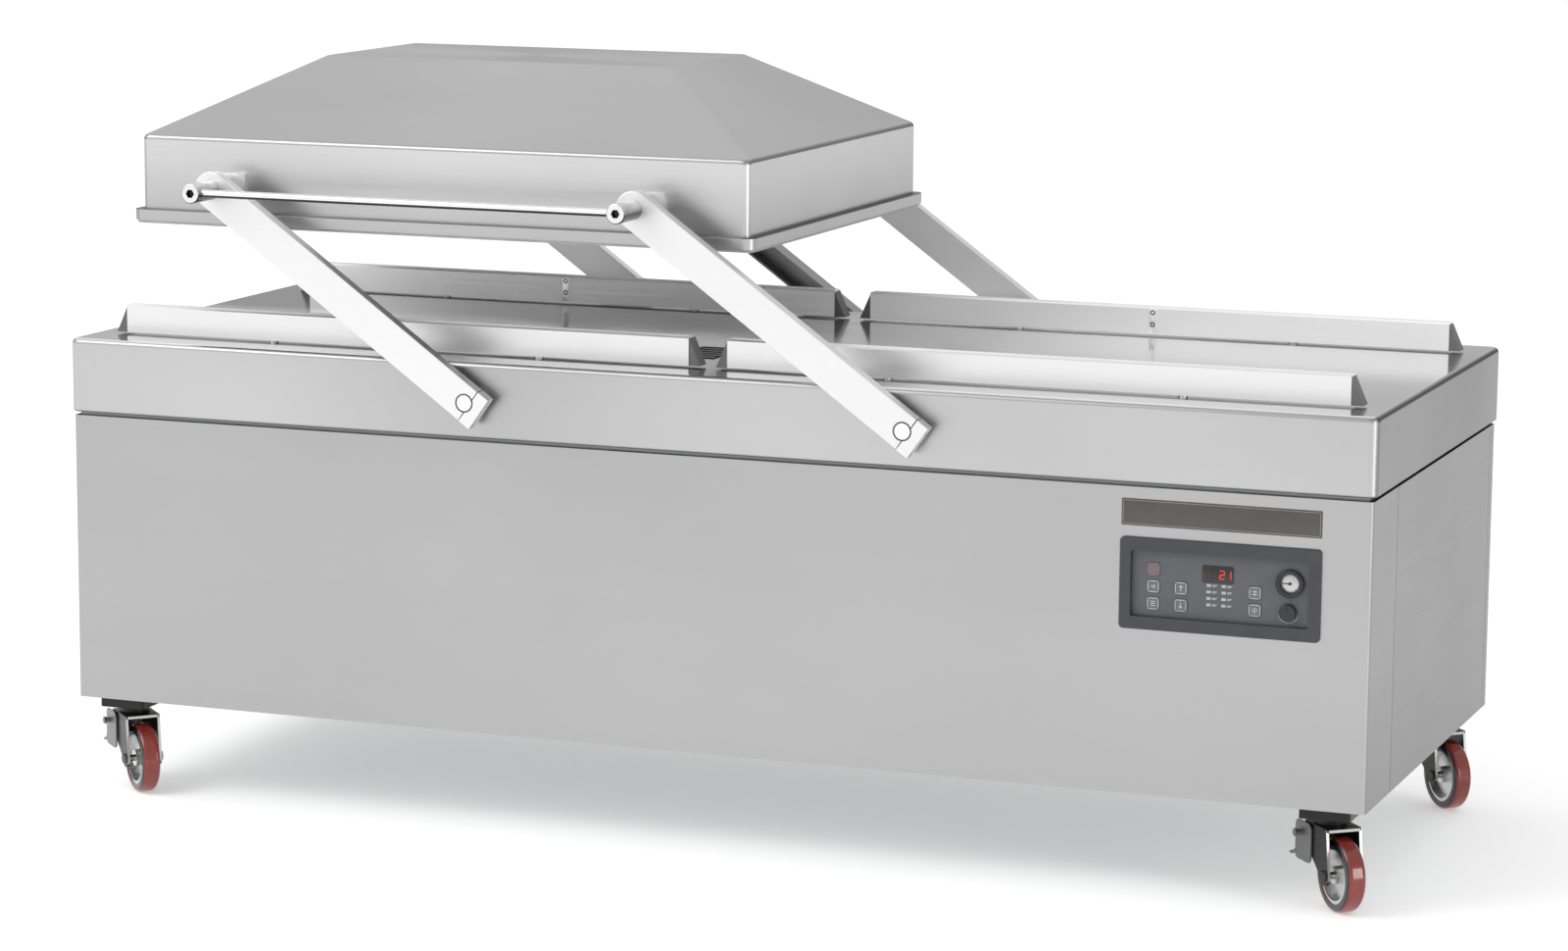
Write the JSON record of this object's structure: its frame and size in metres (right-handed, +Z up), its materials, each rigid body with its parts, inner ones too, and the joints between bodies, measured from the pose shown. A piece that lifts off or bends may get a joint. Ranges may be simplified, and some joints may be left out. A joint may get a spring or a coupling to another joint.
{
  "type": "double-chamber vacuum packing machine",
  "caption": "Stainless cabinet on castors with a flat table, two pairs of seal bars and one hood-shaped lid that swings between them on parallel arms.",
  "frame": {"origin": "on the floor, at the centre of the whole machine's outline in plan, with the lid raised over the left chamber", "axes": "+X to the right along the long front, +Y from the front to the back, +Z up"},
  "size_m": [2.0842, 0.9754, 1.1564],
  "materials": {
    "steel_table": "satin brushed stainless",
    "steel_panel": "satin brushed stainless",
    "steel_lid": "satin brushed stainless",
    "steel_arm": "fine brushed stainless",
    "steel_inner": "mill finish",
    "steel_machined": "turned bright",
    "cast_pump": "cast, painted",
    "copper_core": "varnished",
    "gland_plastic": "moulded",
    "bezel_plastic": "moulded, fine texture",
    "face_film": "printed film",
    "key_film": "moulded",
    "key_stop": "moulded",
    "gauge_plastic": "moulded ring, silver dial",
    "needle_red": "painted",
    "knob_plastic": "moulded",
    "bar_aluminium": "anodised",
    "bar_end": "moulded",
    "counter_rubber": "silicone on aluminium",
    "gasket_rubber": "moulded",
    "castor_black": "black passivated",
    "fork_steel": "zinc plated",
    "pedal_steel": "stamped, plated",
    "rim_metal": "cast",
    "tread_red": "polyurethane"
  },
  "bodies": {
    "base": {"chassis_frame": "steel_inner", "base_plate": "steel_inner", "front_panel": "steel_panel", "rear_panel": "steel_panel", "side_panels": "steel_panel", "table_top": "steel_table", "shaft_bearings": "steel_machined", "lift_cylinders": "gland_plastic", "vacuum_pump": "cast_pump", "pump_motor": "cast_pump", "transformer": "copper_core", "mains_gland": "gland_plastic", "control_bezel": "bezel_plastic", "control_face": "face_film", "gauge_case": "gauge_plastic", "castor_plates": "castor_black"},
    "left_swing": {"left_cross_shaft": "steel_machined", "left_front_arm": "steel_arm", "left_rear_arm": "steel_arm", "left_arm_clamps": "steel_arm"},
    "right_swing": {"right_cross_shaft": "steel_machined", "right_front_arm": "steel_arm", "right_rear_arm": "steel_arm", "right_arm_clamps": "steel_arm"},
    "lid": {"lid_shell": "steel_lid", "lid_gasket": "gasket_rubber", "counter_bars": "counter_rubber", "pivot_blocks": "steel_arm", "pivot_pins": "steel_machined", "lid_handle": "steel_machined"},
    "rear_swing": {"rear_link": "steel_inner"},
    "left_bars": {"left_front_seal_bar": "bar_aluminium", "left_rear_seal_bar": "bar_aluminium", "left_seal_bar_ends": "bar_end"},
    "right_bars": {"right_front_seal_bar": "bar_aluminium", "right_rear_seal_bar": "bar_aluminium", "right_seal_bar_ends": "bar_end"},
    "stop_key_body": {"stop_key": "key_stop"},
    "menu_key_body": {"menu_key": "key_film"},
    "select_key_body": {"select_key": "key_film"},
    "up_key_body": {"up_key": "key_film"},
    "down_key_body": {"down_key": "key_film"},
    "vent_key_body": {"vent_key": "key_film"},
    "pump_key_body": {"pump_key": "key_film"},
    "knob": {"vacuum_knob": "knob_plastic"},
    "needle": {"gauge_needle": "needle_red"},
    "front_left_swivel": {"front_left_castor_fork": "fork_steel"},
    "front_left_wheel": {"front_left_wheel_rim": "rim_metal", "front_left_tyre": "tread_red"},
    "front_left_brake": {"front_left_brake_pedal": "pedal_steel"},
    "front_right_swivel": {"front_right_castor_fork": "fork_steel"},
    "front_right_wheel": {"front_right_wheel_rim": "rim_metal", "front_right_tyre": "tread_red"},
    "front_right_brake": {"front_right_brake_pedal": "pedal_steel"},
    "rear_left_swivel": {"rear_left_castor_fork": "fork_steel"},
    "rear_left_wheel": {"rear_left_wheel_rim": "rim_metal", "rear_left_tyre": "tread_red"},
    "rear_right_swivel": {"rear_right_castor_fork": "fork_steel"},
    "rear_right_wheel": {"rear_right_wheel_rim": "rim_metal", "rear_right_tyre": "tread_red"}
  },
  "joints": [
    {"name": "left_swing_hinge", "type": "hinge", "parent": "base", "child": "left_swing", "pos_m": [-0.348, 0.01875, 0.665], "axis": [0, 1, 0], "range_deg": [-22.2, 131.08]},
    {"name": "right_swing_hinge", "type": "hinge", "parent": "base", "child": "right_swing", "pos_m": [0.348, 0.01875, 0.665], "axis": [0, 1, 0], "range_deg": [-22.2, 131.08]},
    {"name": "rear_link_hinge", "type": "hinge", "parent": "base", "child": "rear_swing", "pos_m": [0, 0.01875, 0.665], "axis": [0, 1, 0], "range_deg": [-22.2, 131.08]},
    {"name": "lid_hinge", "type": "hinge", "parent": "left_swing", "child": "lid", "pos_m": [-0.77105, 0.01875, 0.96743], "axis": [0, 1, 0], "range_deg": [-131.08, 22.2]},
    {"name": "left_bars_lift", "type": "slide", "parent": "base", "child": "left_bars", "axis": [0, 0, 1], "range_m": [0, 0.008]},
    {"name": "right_bars_lift", "type": "slide", "parent": "base", "child": "right_bars", "axis": [0, 0, 1], "range_m": [0, 0.008]},
    {"name": "stop_key_press", "type": "slide", "parent": "base", "child": "stop_key_body", "axis": [0, 1, 0], "range_m": [0, 0.0006], "stiffness_N_per_m": 800, "springref_m": -0.0004},
    {"name": "menu_key_press", "type": "slide", "parent": "base", "child": "menu_key_body", "axis": [0, 1, 0], "range_m": [0, 0.0006], "stiffness_N_per_m": 800, "springref_m": -0.0004},
    {"name": "select_key_press", "type": "slide", "parent": "base", "child": "select_key_body", "axis": [0, 1, 0], "range_m": [0, 0.0006], "stiffness_N_per_m": 800, "springref_m": -0.0004},
    {"name": "up_key_press", "type": "slide", "parent": "base", "child": "up_key_body", "axis": [0, 1, 0], "range_m": [0, 0.0006], "stiffness_N_per_m": 800, "springref_m": -0.0004},
    {"name": "down_key_press", "type": "slide", "parent": "base", "child": "down_key_body", "axis": [0, 1, 0], "range_m": [0, 0.0006], "stiffness_N_per_m": 800, "springref_m": -0.0004},
    {"name": "vent_key_press", "type": "slide", "parent": "base", "child": "vent_key_body", "axis": [0, 1, 0], "range_m": [0, 0.0006], "stiffness_N_per_m": 800, "springref_m": -0.0004},
    {"name": "pump_key_press", "type": "slide", "parent": "base", "child": "pump_key_body", "axis": [0, 1, 0], "range_m": [0, 0.0006], "stiffness_N_per_m": 800, "springref_m": -0.0004},
    {"name": "vacuum_knob_turn", "type": "hinge", "parent": "base", "child": "knob", "pos_m": [0.916, -0.38125, 0.435], "axis": [0, -1, 0], "range_deg": [-135, 135]},
    {"name": "gauge_needle_turn", "type": "hinge", "parent": "base", "child": "needle", "pos_m": [0.918, -0.38125, 0.4765], "axis": [0, 1, 0], "range_deg": [0, 270], "stiffness_Nm_per_rad": 0.00012, "springref_deg": -11.46},
    {"name": "front_left_swivel_turn", "type": "hinge", "parent": "base", "child": "front_left_swivel", "pos_m": [-0.972, -0.32325, 0.12], "axis": [0, 0, 1], "continuous": true},
    {"name": "front_left_wheel_spin", "type": "hinge", "parent": "front_left_swivel", "child": "front_left_wheel", "pos_m": [-0.94466, -0.34965, 0.054], "axis": [-0.6947, -0.7193, 0], "continuous": true},
    {"name": "front_left_brake_press", "type": "hinge", "parent": "front_left_swivel", "child": "front_left_brake", "pos_m": [-0.9979, -0.29824, 0.102], "axis": [-0.6947, -0.7193, 0], "range_deg": [0, 12]},
    {"name": "front_right_swivel_turn", "type": "hinge", "parent": "base", "child": "front_right_swivel", "pos_m": [0.972, -0.32325, 0.12], "axis": [0, 0, 1], "continuous": true},
    {"name": "front_right_wheel_spin", "type": "hinge", "parent": "front_right_swivel", "child": "front_right_wheel", "pos_m": [0.99643, -0.35236, 0.054], "axis": [-0.766, -0.6428, 0], "continuous": true},
    {"name": "front_right_brake_press", "type": "hinge", "parent": "front_right_swivel", "child": "front_right_brake", "pos_m": [0.94886, -0.29567, 0.102], "axis": [-0.766, -0.6428, 0], "range_deg": [0, 12]},
    {"name": "rear_left_swivel_turn", "type": "hinge", "parent": "base", "child": "rear_left_swivel", "pos_m": [-0.972, 0.36075, 0.12], "axis": [0, 0, 1], "continuous": true},
    {"name": "rear_left_wheel_spin", "type": "hinge", "parent": "rear_left_swivel", "child": "rear_left_wheel", "pos_m": [-0.9456, 0.33342, 0.054], "axis": [-0.7193, -0.6947, 0], "continuous": true},
    {"name": "rear_right_swivel_turn", "type": "hinge", "parent": "base", "child": "rear_right_swivel", "pos_m": [0.972, 0.36075, 0.12], "axis": [0, 0, 1], "continuous": true},
    {"name": "rear_right_wheel_spin", "type": "hinge", "parent": "rear_right_swivel", "child": "rear_right_wheel", "pos_m": [0.99743, 0.33251, 0.054], "axis": [-0.7431, -0.6691, 0], "continuous": true}
  ],
  "couplings": [
    {"joint": "lid_hinge", "follows": "left_swing_hinge", "ratio": -1},
    {"joint": "right_swing_hinge", "follows": "left_swing_hinge", "ratio": 1},
    {"joint": "rear_link_hinge", "follows": "left_swing_hinge", "ratio": 1}
  ]
}
